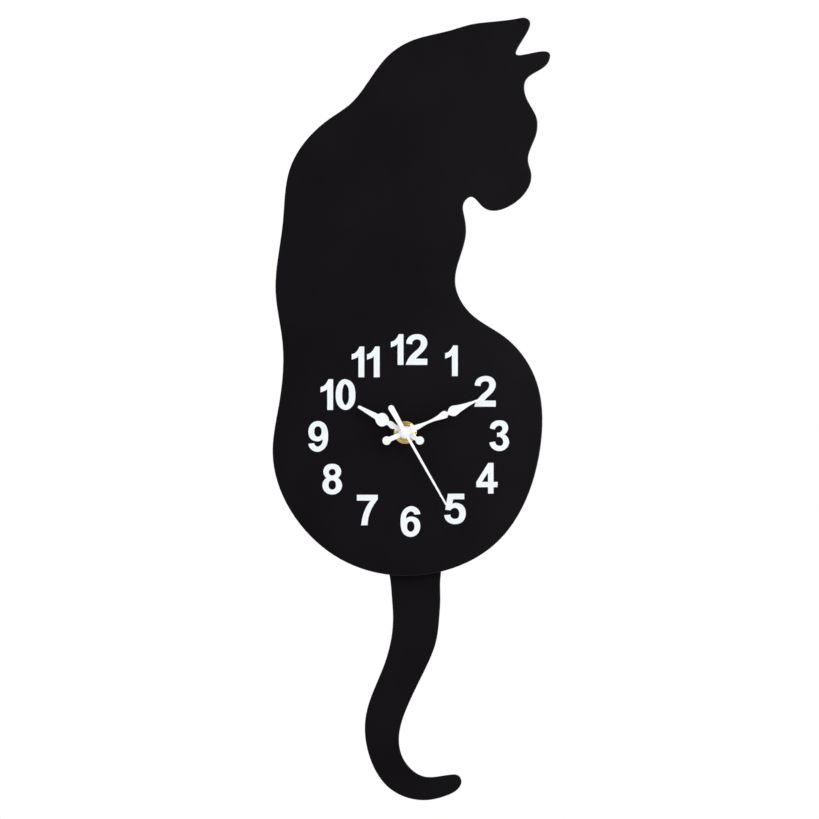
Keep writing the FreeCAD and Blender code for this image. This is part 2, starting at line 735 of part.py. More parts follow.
CORNER_BOSSES = [(-23.6, 24.0), (23.6, 24.0), (-23.6, -58.0), (23.6, -58.0)]
BRIDGE_POSTS = [(-16.5, -7.0), (17.5, -7.0), (-14.5, 13.0), (17.5, 13.0)]
BOARD_POSTS = [(-24.0, 17.0), (-24.0, -8.0)]
PENDULUM_BOARD_POSTS = [(-22.5, -42.5), (-12.5, -51.5)]
HANGER_RIVETS = [(-6, 24), (6, 24)]
pendulum_axis = [(size.pendulum_across, size.pendulum_up)]
SCREW_RADIUS = 1.0
BRIDGE_FRONT = 9.6
BOARD_FRONT = 13.0
PENDULUM_BOARD_FRONT = 13.4
PENDULUM_BOSS_REAR = 13.6
BOARD_PIN_RADIUS = 0.6
BOARD_PIN_LENGTH = 1.6


def make_front_case():
    """Front shell: a tray with bosses, posts for the bridge and walls round the battery."""
    cover = size.cover_thickness
    body = new_body("front_case", depth=cover)
    height = size.case_front - cover
    half = size.case_half_width
    wall = size.case_wall
    depth_inside = height - size.front_wall
    add_block(body, -half, size.case_bottom, half, size.case_top, 0, height)
    round_edges(body, size.case_corner, stands_up)
    round_edges(body, 0.8, lies_at(height.number))
    cut_block(body, -case_inside, size.case_bottom + wall, case_inside, size.case_top - wall,
              0, depth_inside)
    add_discs(body, 2.8, 0, depth_inside, CORNER_BOSSES)
    for places, radius, rear in (
        (BRIDGE_POSTS, 1.8, BRIDGE_FRONT),
        (BOARD_POSTS, 1.5, BOARD_FRONT),
        (PENDULUM_BOARD_POSTS, 1.5, PENDULUM_BOARD_FRONT),
        (pendulum_axis, 2.5, PENDULUM_BOSS_REAR),
    ):
        add_discs(body, radius, rear - cover, size.case_front - rear - 1, places)
    for places, front in ((BOARD_POSTS, BOARD_FRONT), (PENDULUM_BOARD_POSTS, PENDULUM_BOARD_FRONT)):
        add_discs(body, BOARD_PIN_RADIUS, front - BOARD_PIN_LENGTH - cover, BOARD_PIN_LENGTH, places)
    for bottom, top in ((-13.1, -12.1), (-28.9, -27.9)):
        add_block(body, -23.8, bottom, 23.8, top, 0, depth_inside + 0.5)
    cut_discs(body, SCREW_RADIUS, 0, 8, CORNER_BOSSES)
    cut_discs(body, 0.7, BRIDGE_FRONT - cover, 4, BRIDGE_POSTS)
    cut_discs(body, 1.0, PENDULUM_BOSS_REAR - cover, 1.9, pendulum_axis)
    cut_disc(body, size.bushing_radius, 0, height)
    cut_disc(body, 0.64, depth_inside, 0.9, 0, motion_up)
    slot_left = size.pendulum_across - 6.9
    slot_right = size.pendulum_across + 6.9
    cut_block(body, slot_left, size.case_bottom - 1, slot_right, size.case_bottom + wall + 1,
              9.9 - cover, 2.6)


def arc_points(radius, start, end, middle_up):
    """Points along an arc from start to end, in degrees, round a centre above the hands' axis."""
    steps = 6
    turns = [math.radians(start + (end - start) * k / steps) for k in range(steps + 1)]
    return [(radius * math.cos(turn), middle_up + radius * math.sin(turn)) for turn in turns]


def cut_cover_marks(body):
    """Cut the polarity marks of the cell and the arrow for setting the hands into the cover."""
    depth = 0.3
    stroke = 0.4
    reach = 1.5
    marks_up = -10.0
    for across in (-22.0, 22.0):
        cut_block(body, across - reach, marks_up - stroke, across + reach, marks_up + stroke, 0, depth)
    cut_block(body, 22.0 - stroke, marks_up - reach, 22.0 + stroke, marks_up + reach, 0, depth)
    centre_up = motion_up.number
    radius = 7.6
    outer = arc_points(radius + stroke, 215, 315, centre_up)
    inner = arc_points(radius - stroke, 315, 215, centre_up)
    head = [arc_points(radius + offset, turn, turn, centre_up)[0]
            for offset, turn in ((3 * stroke, 315), (0, 332), (-3 * stroke, 315))]
    sketch = new_sketch(body)
    draw_outline(sketch, outer[0], outer[1:], *[[point] for point in head + inner[:1]], inner[1:], [outer[0]])
    cut(body, sketch, depth)


def make_back_cover():
    """Back cover with the battery window, the knob opening and the rear bearings."""
    body = new_body("back_cover")
    half = size.case_half_width
    cover = size.cover_thickness
    add_block(body, -half, size.case_bottom, half, size.case_top, 0, cover)
    round_edges(body, size.case_corner, stands_up)
    round_edges(body, 0.5, lies_at(0))
    train_pivots = [(step_across, 0), (rotor_across, rotor_up), (third_across, third_up)]
    add_discs(body, 1.2, cover, 1.0, train_pivots)
    add_disc(body, 1.6, cover, 1.2)
    add_discs(body, 2.5, cover, 1.6, pendulum_axis)
    cut_discs(body, pivot_hole, cover, 1.0, train_pivots)
    cut_disc(body, size.second_shaft_radius + size.running_gap, cover, 1.2)
    cut_discs(body, 1.0, cover, 1.6, pendulum_axis)
    cut_disc(body, 5.5, 0, cover, 0, motion_up)
    cut_block(body, -26.2, -27.8, 26.2, -13.2, 0, cover)
    cut_block(body, -9.1, 20, 9.1, size.case_top + 1, 0, 1.0)
    cut_discs(body, SCREW_RADIUS, 0, cover, CORNER_BOSSES)
    cut_discs(body, 2.0, 0, 1.0, CORNER_BOSSES)
    cut_discs(body, 0.8, 1.0, 1.0, HANGER_RIVETS)
    cut_cover_marks(body)


def make_wall_hanger():
    """Sheet steel hanging plate with its eye, let into the top of the back cover."""
    body = new_body("wall_hanger")
    sketch = new_sketch(body)
    top = size.shaft_drop.number + 6.0
    draw_outline(
        sketch,
        (-9, 20.2), [(9, 20.2)], [(9, 31)], [(7.0, 36.5), (3.6, top - 0.4)],
        [(0, top), (-3.6, top - 0.4)], [(-7.0, 36.5), (-9, 31)], [(-9, 20.2)],
    )
    draw_circle(sketch, 0, size.shaft_drop, size.eye_radius)
    for across, up in HANGER_RIVETS:
        draw_circle(sketch, across, up, 0.8)
    pad(body, sketch, 1.0)


def make_case_screws():
    """Four pan-head screws that hold the back cover, with their slotted heads to the wall."""
    body = new_body("case_screws")
    add_discs(body, 1.9, 0.2, 0.8, CORNER_BOSSES)
    add_discs(body, SCREW_RADIUS, 1.0, 8.5, CORNER_BOSSES)
    sketch = new_sketch(body, 0.2)
    for across, up in CORNER_BOSSES:
        draw_rectangle(sketch, across - 1.4, up - 0.25, across + 1.4, up + 0.25)
    cut(body, sketch, 0.4)


def make_hanger_rivets():
    """Two rivets that hold the hanging plate to the back cover."""
    body = new_body("hanger_rivets")
    add_discs(body, 0.8, 0.0, size.cover_thickness, HANGER_RIVETS)
    add_discs(body, 1.4, size.cover_thickness, 0.5, HANGER_RIVETS)


def make_battery_can():
    """AA cell without its cap, lying across the case."""
    can = doc.addObject("Part::Cylinder", "battery_can")
    can.Label = "battery_can"
    set_value(can, "Radius", size.battery_radius)
    set_value(can, "Height", size.battery_length)
    place(can, -size.battery_length / 2, size.battery_up, size.battery_depth)
    can.Placement = FreeCAD.Placement(can.Placement.Base, FreeCAD.Rotation(Vector(0, 1, 0), 90))
    pieces.append(can)


def make_battery_positive_cap():
    """Positive cap of the cell."""
    cap = doc.addObject("Part::Cylinder", "battery_positive_cap")
    cap.Label = "battery_positive_cap"
    cap.Radius = 2.75
    cap.Height = 1.0
    place(cap, size.battery_length / 2, size.battery_up, size.battery_depth)
    cap.Placement = FreeCAD.Placement(cap.Placement.Base, FreeCAD.Rotation(Vector(0, 1, 0), 90))
    pieces.append(cap)


def make_negative_contact():
    """Bowed strip that presses on the flat end of the cell and reaches up to the board."""
    body = new_body("negative_contact", depth=5.5)
    sketch = new_sketch(body)
    draw_outline(
        sketch,
        (-26.6, -26), [(-26.25, -26)], [(-24.55, -20.5), (-26.25, -15)], [(-26.25, -9.5)],
        [(-26.6, -9.5)], [(-26.6, -14.6)], [(-24.9, -20.5), (-26.6, -25.6)], [(-26.6, -26)],
    )
    pad(body, sketch, 5.5)
    add_block(body, -26.6, -11.5, -26.25, -9.5, 5.5, 1.0)


def make_positive_contact():
    """Flat strip at the capped end of the cell, which reaches up to the board."""
    body = new_body("positive_contact", depth=5.5)
    add_block(body, 25.75, -26, 26.15, -9.5, 0, 5.5)
    add_block(body, 25.75, -11.5, 26.15, -9.5, 5.5, 1.0)


# ---------------------------------------------------------------- electronics

def make_circuit_board():
    """L-shaped board beside the train and above the cell."""
    body = new_body("circuit_board", depth=12.0)
    sketch = new_sketch(body)
    draw_outline(
        sketch,
        (-26.6, -11.9), [(26.4, -11.9)], [(26.4, -9.4)], [(-18.8, -9.4)], [(-18.8, 20)], [(-26.6, 20)],
        [(-26.6, -11.9)],
    )
    for across, up in BOARD_POSTS:
        draw_circle(sketch, across, up, BOARD_PIN_RADIUS)
    pad(body, sketch, 1.0)


def make_clock_chip():
    """Moulded blob over the divider chip."""
    body = new_body("clock_chip", -22.6, 4, 10.9)
    add_disc(body, 3.4, 0, 1.1)
    round_edges(body, 0.9, lies_at(0))


def make_quartz_crystal():
    """Tuning-fork crystal in its small metal can, lying on the board."""
    crystal = doc.addObject("Part::Cylinder", "quartz_crystal")
    crystal.Label = "quartz_crystal"
    crystal.Radius = 1.0
    crystal.Height = 6.0
    place(crystal, -21.0, 10.5, 11.0)
    crystal.Placement = FreeCAD.Placement(crystal.Placement.Base, FreeCAD.Rotation())
    pieces.append(crystal)


COIL_UP = 18.6
CORE_DEPTH = 4.6
CORE_THICKNESS = 1.0
CORE_HALF_WIDTH = 2.0


def make_coil_core():
    """Flat soft-iron core of the motor coil, under both ends of the stator."""
    body = new_body("coil_core", depth=CORE_DEPTH)
    add_block(body, 3.0, COIL_UP - CORE_HALF_WIDTH, 24.0, COIL_UP + CORE_HALF_WIDTH, 0, CORE_THICKNESS)


def add_coil_tube(body, left, right, outer, inner):
    """Add a rectangular tube along X round the core; outer and inner are wall distances."""
    sketch = new_sketch(body, left, role="YZ_Plane")
    middle = CORE_THICKNESS / 2
    for reach in (outer, inner):
        draw_rectangle(sketch, COIL_UP - CORE_HALF_WIDTH - reach, middle - 0.5 - reach,
                       COIL_UP + CORE_HALF_WIDTH + reach, middle + 0.5 + reach)
    return pad(body, sketch, right - left)


def make_coil_bobbin():
    """Plastic bobbin of the motor coil."""
    body = new_body("coil_bobbin", depth=CORE_DEPTH)
    add_coil_tube(body, 7.4, 19.6, 0.5, 0.0)
    add_coil_tube(body, 7.4, 8.1, 2.0, 0.5)
    add_coil_tube(body, 18.9, 19.6, 2.0, 0.5)


def make_coil_winding():
    """Fine copper winding on the bobbin."""
    body = new_body("coil_winding", depth=CORE_DEPTH)
    add_coil_tube(body, 8.1, 18.9, 1.7, 0.5)


def make_stator():
    """One-piece stator plate: a bar round the rotor and a leg to each end of the core."""
    thickness = 0.8
    body = new_body("stator", depth=CORE_DEPTH + CORE_THICKNESS)
    add_block(body, 3.0, 2.0, 24.0, 8.0, 0, thickness)
    add_disc(body, 5.2, 0, thickness, rotor_across, rotor_up)
    for left in (3.0, 20.0):
        add_block(body, left, 7.0, left + 4.0, COIL_UP + CORE_HALF_WIDTH, 0, thickness)
    cut_disc(body, 3.6, 0, thickness, rotor_across, rotor_up)


# ---------------------------------------------------------------- going train

def make_rotor_pinion():
    """Rotor arbor with its pinion."""
    body = new_body("rotor_pinion", rotor_across, rotor_up)
    cover = size.cover_thickness
    add_disc(body, size.pivot_radius, cover + 0.1, 7.4)
    direction = ROTOR_DIRECTION + 180
    add_gear(body, size.rotor_leaves, size.second_module, 3.2, 1.2, turn=direction, leaf=True)
    add_disc(body, 0.8, 4.4, 2.8)


def make_rotor_magnet():
    """Round permanent magnet of the stepping motor."""
    body = new_body("rotor_magnet", rotor_across, rotor_up, 5.0)
    add_disc(body, 3.0, 0, 2.0, bore=0.8)


def make_step_wheel():
    """Intermediate wheel between the rotor and the second wheel, with its pinion."""
    body = new_body("step_wheel", step_across, 0)
    add_disc(body, size.pivot_radius, size.cover_thickness + 0.1, 7.4)
    turn = gap_turn(ROTOR_DIRECTION, size.step_teeth)
    add_disc(body, 0.8, 3.2, 5.1)
    add_gear(body, size.step_teeth, size.second_module, 3.4, 0.8, turn=turn)
    add_gear(body, size.step_leaves, size.second_module, 6.5, 1.1, turn=180.0, leaf=True)


def make_second_shaft():
    """Steel shaft that runs through the whole train to the second hand."""
    body = new_body("second_shaft")
    start = size.cover_thickness + 0.1
    add_disc(body, size.second_shaft_radius, start, size.second_hand_depth + 0.9 - start)


def make_second_wheel():
    """Second wheel and pinion, pressed on the second shaft."""
    body = new_body("second_wheel")
    bore = size.second_shaft_radius
    turn = gap_turn(0.0, size.second_teeth)
    add_disc(body, 1.5, 6.4, 1.8)
    add_gear(body, size.second_teeth, size.second_module, 6.6, 0.8, turn=turn)
    add_gear(body, size.second_leaves, size.third_module, 4.4, 2.0, turn=THIRD_DIRECTION, leaf=True)
    cut_disc(body, bore, 4.4, 3.8)


def make_third_wheel():
    """Third wheel on its arbor, which passes through the bridge."""
    body = new_body("third_wheel", third_across, third_up)
    add_disc(body, size.pivot_radius, size.cover_thickness + 0.1, 1.2)
    add_disc(body, 0.6, 3.2, 8.0)
    turn = gap_turn(THIRD_DIRECTION + 180, size.third_teeth)
    add_gear(body, size.third_teeth, size.third_module, 4.8, 1.0, turn=turn)


def make_third_pinion():
    """Third pinion, pressed on the third arbor in front of the bridge."""
    body = new_body("third_pinion", third_across, third_up, 9.8)
    direction = THIRD_DIRECTION + 180
    add_gear(body, size.third_leaves, size.centre_module, 0, 1.4, bore=0.6, turn=direction, leaf=True)


def make_centre_wheel():
    """Centre wheel, which slips on the minute tube when the hands are set."""
    body = new_body("centre_wheel", depth=10.0)
    turn = gap_turn(THIRD_DIRECTION, size.centre_teeth)
    bore = size.minute_radius + 0.1
    add_gear(body, size.centre_teeth, size.centre_module, 0, 1.0, bore=bore, turn=turn)


def make_clutch_spring():
    """Spring washer that presses the centre wheel on the collar of the minute tube."""
    body = new_body("clutch_spring", depth=11.05)
    add_disc(body, 3.6, 0, 0.2, bore=size.minute_radius + 0.05)
    for turn in (90, 210, 330):
        across = round(3.3 * math.cos(math.radians(turn)), 3)
        up = round(3.3 * math.sin(math.radians(turn)), 3)
        cut_disc(body, 0.7, 0, 0.2, across, up)


def make_minute_shaft():
    """Minute tube with its collar and cannon pinion."""
    body = new_body("minute_shaft")
    bore = size.minute_bore_radius
    rear = 9.75
    front = size.minute_hand_depth + size.hand_thickness + 0.5
    add_disc(body, 2.6, rear, 0.2)
    add_disc(body, size.minute_radius + 0.05, 9.95, 1.35)
    add_gear(body, size.cannon_leaves, size.minute_module, 11.3, 1.7, turn=90.0, leaf=True)
    add_disc(body, size.minute_radius, 13.0, front - 13.0)
    cut_disc(body, bore, rear, front - rear)


def make_motion_wheel():
    """Motion wheel and pinion on the arbor of the setting knob."""
    body = new_body("motion_wheel", 0, motion_up)
    add_disc(body, 0.9, 1.2, 10.4)
    turn = gap_turn(270.0, size.motion_teeth)
    add_gear(body, size.motion_teeth, size.minute_module, 11.6, 1.2, turn=turn)
    add_disc(body, 1.35, 12.8, 0.4)
    add_gear(body, size.motion_leaves, size.hour_module, 13.2, 1.5, turn=270.0, leaf=True)
    add_disc(body, 0.6, 14.7, 1.6)


def make_hour_wheel():
    """Hour wheel with the pipe that carries the hour hand."""
    body = new_body("hour_wheel", depth=13.4)
    bore = size.hour_bore_radius
    turn = gap_turn(90.0, size.hour_teeth)
    front = size.hour_hand_depth + size.hand_thickness + 0.4
    add_gear(body, size.hour_teeth, size.hour_module, 0, 1.1, turn=turn)
    add_disc(body, size.hour_pipe_radius, 1.1, front - 14.5)
    cut_disc(body, bore, 0, front - 13.4)


def make_setting_knob():
    """Knob at the back for setting the hands, with a grooved rim."""
    body = new_body("setting_knob", 0, motion_up, 0.5)
    add_disc(body, 5.0, 0, 2.6)
    sketch = new_sketch(body)
    draw_circle(sketch, 5.15, 0, 0.45)
    groove = cut(body, sketch, 2.6)
    pattern = body.newObject("PartDesign::PolarPattern", "knob_grooves")
    pattern.Originals = [groove]
    pattern.Axis = (origin_plane(body, "Z_Axis"), [""])
    pattern.Angle = 360
    pattern.Occurrences = 24
    body.Tip = pattern
    cut_disc(body, 3.4, 0, 0.5)
    cut_disc(body, 0.9, 0.7, 1.9)


def make_train_bridge():
    """Plate that carries the front pivots of the train."""
    body = new_body("train_bridge", depth=8.4)
    thickness = 1.2
    add_block(body, -18.5, -9.0, 19.5, 15.0, 0, thickness)
    round_edges(body, 2.5, stands_up)
    gap = size.running_gap
    cut_disc(body, size.second_shaft_radius + gap, 0, thickness)
    cut_disc(body, pivot_hole, 0, thickness, step_across, 0)
    cut_disc(body, pivot_hole, 0, thickness, rotor_across, rotor_up)
    cut_disc(body, 0.6 + gap, 0, thickness, third_across, third_up)
    cut_disc(body, 0.95, 0, thickness, 0, motion_up)
    cut_discs(body, 0.7, 0, thickness, BRIDGE_POSTS)


def make_bridge_screws():
    """Four small screws that hold the bridge to its posts."""
    body = new_body("bridge_screws")
    add_discs(body, 1.4, 7.6, 0.8, BRIDGE_POSTS)
    add_discs(body, 0.7, 8.4, 4.4, BRIDGE_POSTS)


# ---------------------------------------------------------------- pendulum

MAGNET_UP = -14.0  # from the pendulum axis
HOOK_PINS = (-10.0, -18.0)  # from the pendulum axis
HOOK_THICKNESS = 1.2
HOOK_HALF_WIDTH = 2.0


def make_pendulum_pin():
    """Steel pin that the pendulum swings on."""
    body = new_body("pendulum_pin", size.pendulum_across, size.pendulum_up)
    start = size.cover_thickness
    add_disc(body, 1.0, start, size.case_front - size.front_wall - start)


def make_pendulum_arm():
    """Pendulum arm: a long hub, a bar and a round holder for the magnet."""
    body = new_body("pendulum_arm", size.pendulum_across, size.pendulum_up)
    add_disc(body, 3.2, 3.8, 9.6)
    add_block(body, -3.0, MAGNET_UP, 3.0, 0, 7.6, 3.0)
    add_disc(body, 5.5, 7.6, 3.0, up=MAGNET_UP)
    for up in HOOK_PINS:
        add_disc(body, 0.8, 10.6, 1.2, up=up)
        add_disc(body, 1.2, 11.8, 0.4, up=up)
    cut_disc(body, 1.05, 3.8, 9.6)
    cut_disc(body, 4.0, 7.6, 2.2, up=MAGNET_UP)


def make_pendulum_magnet():
    """Drive magnet in the end of the arm."""
    body = new_body("pendulum_magnet", size.pendulum_across, size.pendulum_up + MAGNET_UP, 7.0)
    add_disc(body, 4.0, 0, 2.8)


def make_pendulum_hook():
    """Flat steel hook on the arm: it leaves the case, passes the tail and turns up."""
    body = new_body("pendulum_hook", size.pendulum_across, size.pendulum_up)
    sketch = new_sketch(body, -HOOK_HALF_WIDTH, role="YZ_Plane")
    rear = 10.6
    front = 16.4
    sole = -35.5 - HOOK_THICKNESS
    bend = 1.0
    draw_outline(
        sketch,
        (-8.0, rear), [(-8.0, rear + HOOK_THICKNESS)], [(-35.5, rear + HOOK_THICKNESS)],
        [(-35.5, front - HOOK_THICKNESS)], [(-32.5, front - HOOK_THICKNESS)], [(-32.5, front)],
        [(sole + bend, front)], [(sole + 0.3 * bend, front - 0.3 * bend), (sole, front - bend)],
        [(sole, rear + bend)], [(sole + 0.3 * bend, rear + 0.3 * bend), (sole + bend, rear)],
        [(-8.0, rear)],
    )
    pad(body, sketch, 2 * HOOK_HALF_WIDTH)
    for up in HOOK_PINS:
        cut_disc(body, 0.8, rear, HOOK_THICKNESS, up=up)


def make_pendulum_coil_bobbin():
    """Flat bobbin of the drive coil, on the back cover behind the magnet."""
    body = new_body("pendulum_coil_bobbin", size.pendulum_across, size.pendulum_up + MAGNET_UP,
                    size.cover_thickness)
    add_disc(body, 7.5, 0, 0.6)
    add_disc(body, 2.5, 0, 4.2)
    add_disc(body, 7.5, 3.6, 0.6)


def make_pendulum_coil_winding():
    """Copper winding of the drive coil."""
    body = new_body("pendulum_coil_winding", size.pendulum_across, size.pendulum_up + MAGNET_UP,
                    size.cover_thickness)
    add_disc(body, 7.0, 0.6, 3.0, bore=2.5)


def make_pendulum_board():
    """Small board with the pendulum drive circuit."""
    body = new_body("pendulum_board", depth=12.4)
    sketch = new_sketch(body)
    draw_rectangle(sketch, -26.0, -54.5, -9.0, -38.0)
    for across, up in PENDULUM_BOARD_POSTS:
        draw_circle(sketch, across, up, BOARD_PIN_RADIUS)
    pad(body, sketch, 1.0)
    add_block(body, -21, -50, -15, -45, -1.5, 1.5)


# ---------------------------------------------------------------- build and write

def make_clock():
    """Make every sub-part of the clock."""
    make_cat_panel()
    make_tail()
    for hour in range(1, 13):
        make_numeral(hour)
    make_hour_hand()
    make_minute_hand()
    make_second_hand()
    make_second_hand_hub()
    make_threaded_bushing()
    make_rubber_washer()
    make_brass_washer()
    make_brass_nut()
    make_front_case()
    make_back_cover()
    make_wall_hanger()
    make_case_screws()
    make_hanger_rivets()
    make_battery_can()
    make_battery_positive_cap()
    make_negative_contact()
    make_positive_contact()
    make_circuit_board()
    make_clock_chip()
    make_quartz_crystal()
    make_coil_core()
    make_coil_bobbin()
    make_coil_winding()
    make_stator()
    make_rotor_pinion()
    make_rotor_magnet()
    make_step_wheel()
    make_second_shaft()
    make_second_wheel()
    make_third_wheel()
    make_third_pinion()
    make_centre_wheel()
    make_clutch_spring()
    make_minute_shaft()
    make_motion_wheel()
    make_hour_wheel()
    make_setting_knob()
    make_train_bridge()
    make_bridge_screws()
    make_pendulum_pin()
    make_pendulum_arm()
    make_pendulum_magnet()
    make_pendulum_hook()
    make_pendulum_coil_bobbin()
    make_pendulum_coil_winding()
    make_pendulum_board()


def check_document():
    """Stop if any object failed or any sub-part has no valid shape."""
    for item in doc.Objects:
        if "Invalid" in item.State or "Error" in item.State:
            raise ValueError(f"{item.Name} failed: {item.State}")
    for piece in pieces:
        if piece.Shape.isNull() or not piece.Shape.isValid():
            raise ValueError(f"{piece.Label} has no valid shape")


def write_pieces():
    """Write each sub-part to its own file."""
    os.makedirs("parts", exist_ok=True)
    for piece in pieces:
        piece.Shape.exportStep(f"parts/{piece.Label}.step")
        print(f"{piece.Label}: {len(piece.Shape.Solids)} solid(s), {piece.Shape.Volume:.1f} mm3")


make_clock()
doc.recompute()
check_document()
write_pieces()
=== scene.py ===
"""Looks of the cat tail clock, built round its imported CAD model.

Everything is in metres in the CAD frame: the origin is the centre of the hanging eye on the wall
plane, X runs to the reader's right, Z up and Y into the wall.
"""

import json
import math

import bmesh
import bpy
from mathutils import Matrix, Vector


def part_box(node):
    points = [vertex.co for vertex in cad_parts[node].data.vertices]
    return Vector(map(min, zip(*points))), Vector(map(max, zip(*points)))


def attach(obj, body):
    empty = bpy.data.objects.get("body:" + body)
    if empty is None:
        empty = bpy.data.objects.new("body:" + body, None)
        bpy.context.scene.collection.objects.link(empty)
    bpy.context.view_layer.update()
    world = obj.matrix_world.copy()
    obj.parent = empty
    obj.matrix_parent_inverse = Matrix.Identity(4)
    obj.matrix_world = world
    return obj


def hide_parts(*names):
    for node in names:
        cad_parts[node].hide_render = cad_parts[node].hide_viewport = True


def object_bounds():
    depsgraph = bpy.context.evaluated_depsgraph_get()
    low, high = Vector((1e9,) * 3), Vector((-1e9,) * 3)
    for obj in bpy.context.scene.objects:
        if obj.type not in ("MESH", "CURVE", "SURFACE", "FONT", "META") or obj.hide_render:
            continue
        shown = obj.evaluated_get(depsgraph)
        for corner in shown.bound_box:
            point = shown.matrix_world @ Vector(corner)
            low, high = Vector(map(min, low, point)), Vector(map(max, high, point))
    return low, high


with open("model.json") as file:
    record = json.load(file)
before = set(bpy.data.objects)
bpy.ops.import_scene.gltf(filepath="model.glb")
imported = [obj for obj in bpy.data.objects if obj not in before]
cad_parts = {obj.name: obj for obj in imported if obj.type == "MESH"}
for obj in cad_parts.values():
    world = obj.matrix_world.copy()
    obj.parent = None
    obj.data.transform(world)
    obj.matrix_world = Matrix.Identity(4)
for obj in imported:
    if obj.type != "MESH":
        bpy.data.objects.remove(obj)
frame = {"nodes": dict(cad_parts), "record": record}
nodes = frame["nodes"]
cad_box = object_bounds()

MM = 0.001


# ---------------------------------------------------------------- material tools


class Finish:
    """A node material in the making: one Principled shader and short ways to feed it."""

    def __init__(self, name, metallic=0.0):
        self.material = bpy.data.materials.new(name)
        self.material.use_nodes = True
        self.tree = self.material.node_tree
        self.shader = self.tree.nodes["Principled BSDF"]
        self.set("Metallic", metallic)
        coordinates = self.tree.nodes.new("ShaderNodeTexCoord")
        self.place = coordinates.outputs["Object"]
        self.normal = coordinates.outputs["Normal"]

    def set(self, name, value):
        """Gives a shader input a plain value or the output of another node."""
        self.feed(self.shader.inputs[name], value)

    def feed(self, socket, value):
        """Gives a socket a plain value or the output of another node."""
        if isinstance(value, bpy.types.NodeSocket):
            self.tree.links.new(value, socket)
        else:
            socket.default_value = value

    def stretched(self, scale):
        """Object coordinates multiplied by a scale along each axis."""
        node = self.tree.nodes.new("ShaderNodeMapping")
        node.inputs["Scale"].default_value = scale
        self.tree.links.new(self.place, node.inputs["Vector"])
        return node.outputs["Vector"]

    def noise(self, size, detail=3.0, stretch=(1, 1, 1)):
        """Cloudy value from 0 to 1 with lumps of about that size."""
        node = self.tree.nodes.new("ShaderNodeTexNoise")
        node.inputs["Scale"].default_value = 1.0 / size
        node.inputs["Detail"].default_value = detail
        self.tree.links.new(self.stretched(stretch), node.inputs["Vector"])
        return node.outputs["Fac"]

    def bands(self, size, direction, distortion):
        """Straight or bent waves of that length across a direction."""
        node = self.tree.nodes.new("ShaderNodeTexWave")
        node.bands_direction = direction
        node.inputs["Scale"].default_value = math.pi / 10.0 / size
        node.inputs["Distortion"].default_value = distortion
        self.tree.links.new(self.place, node.inputs["Vector"])
        return node.outputs["Fac"]

    def rings(self, size, centre):
        """Uneven rings of about that width round an axis along Y, as turning leaves them."""
        squares = []
        for axis, middle in (("X", centre[0]), ("Z", centre[1])):
            offset = self.math("SUBTRACT", self.part(self.place, axis), middle)
            squares.append(self.math("MULTIPLY", offset, offset))
        radius = self.math("SQRT", self.math("ADD", *squares))
        node = self.tree.nodes.new("ShaderNodeTexNoise")
        node.noise_dimensions = "1D"
        node.inputs["Scale"].default_value = 1.0
        self.tree.links.new(self.math("DIVIDE", radius, size), node.inputs["W"])
        return node.outputs["Fac"]

    def span(self, value, low, high, start=0.0, end=1.0):
        """Maps start to end onto low to high, and holds it there."""
        node = self.tree.nodes.new("ShaderNodeMapRange")
        self.feed(node.inputs["Value"], value)
        node.inputs["From Min"].default_value = start
        node.inputs["From Max"].default_value = end
        node.inputs["To Min"].default_value = low
        node.inputs["To Max"].default_value = high
        return node.outputs["Result"]

    def math(self, operation, first, second=0.0):
        """Result of a sum on values or node outputs."""
        node = self.tree.nodes.new("ShaderNodeMath")
        node.operation = operation
        self.feed(node.inputs[0], first)
        self.feed(node.inputs[1], second)
        return node.outputs["Value"]

    def part(self, vector, axis):
        """One component of a vector."""
        node = self.tree.nodes.new("ShaderNodeSeparateXYZ")
        self.tree.links.new(vector, node.inputs["Vector"])
        return node.outputs[axis]

    def blend(self, factor, first, second):
        """Colour between two colours."""
        node = self.tree.nodes.new("ShaderNodeMix")
        node.data_type = "RGBA"
        self.feed(node.inputs["Factor"], factor)
        for name, colour in (("A", first), ("B", second)):
            target = [s for s in node.inputs if s.name == name and s.type == "RGBA"][0]
            if not isinstance(colour, bpy.types.NodeSocket):
                colour = (*colour, 1.0)
            self.feed(target, colour)
        return [s for s in node.outputs if s.type == "RGBA"][0]

    def bump(self, height, depth, strength=1.0):
        """Raises the surface by up to depth metres, on top of any earlier bump."""
        node = self.tree.nodes.new("ShaderNodeBump")
        node.inputs["Strength"].default_value = strength
        node.inputs["Distance"].default_value = depth
        self.tree.links.new(height, node.inputs["Height"])
        earlier = self.shader.inputs["Normal"].links
        if earlier:
            self.tree.links.new(earlier[0].from_socket, node.inputs["Normal"])
        self.tree.links.new(node.outputs["Normal"], self.shader.inputs["Normal"])

    def soft_edges(self, radius):
        """Rounds the shading of sharp edges, as a real edge is never perfectly sharp."""
        node = self.tree.nodes.new("ShaderNodeBevel")
        node.samples = 6
        node.inputs["Radius"].default_value = radius
        self.tree.links.new(node.outputs["Normal"], self.shader.inputs["Normal"])


# ---------------------------------------------------------------- materials


